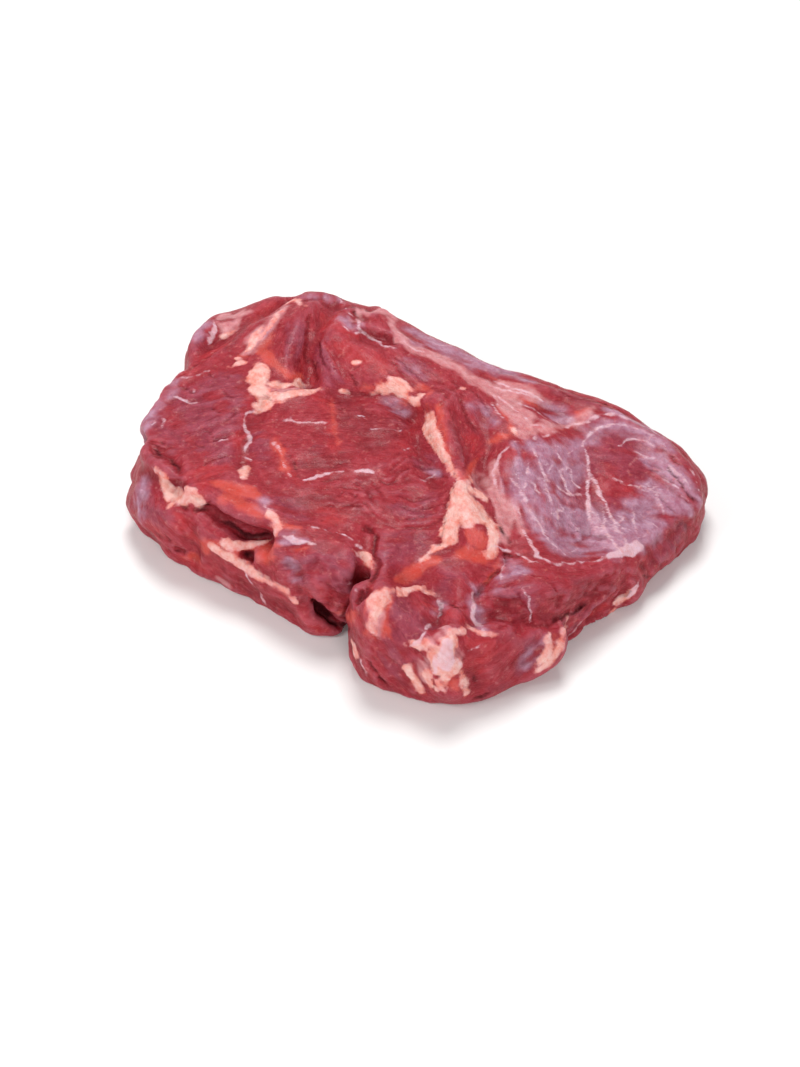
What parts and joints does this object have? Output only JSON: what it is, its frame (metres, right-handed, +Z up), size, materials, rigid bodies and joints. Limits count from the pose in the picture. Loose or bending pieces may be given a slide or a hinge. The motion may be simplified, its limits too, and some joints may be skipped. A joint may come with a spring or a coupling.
{
  "type": "raw beef chuck",
  "caption": "Thick slab of raw boneless beef shoulder on its flat cut face, with muscle seams, fat, silverskin and a deep notch.",
  "frame": {"origin": "middle of the part's box, on the flat cut face that the meat lies on", "axes": "+X along the slab towards its thinner end with the silverskin, +Y towards the smooth back side, +Z up out of the cut face that is seen"},
  "size_m": [0.2683, 0.1997, 0.0592],
  "materials": {
    "meat": "moist raw meat with cream fat seams and lavender silverskin"
  },
  "bodies": {
    "root": {"beef_chuck": "meat"}
  },
  "joints": []
}
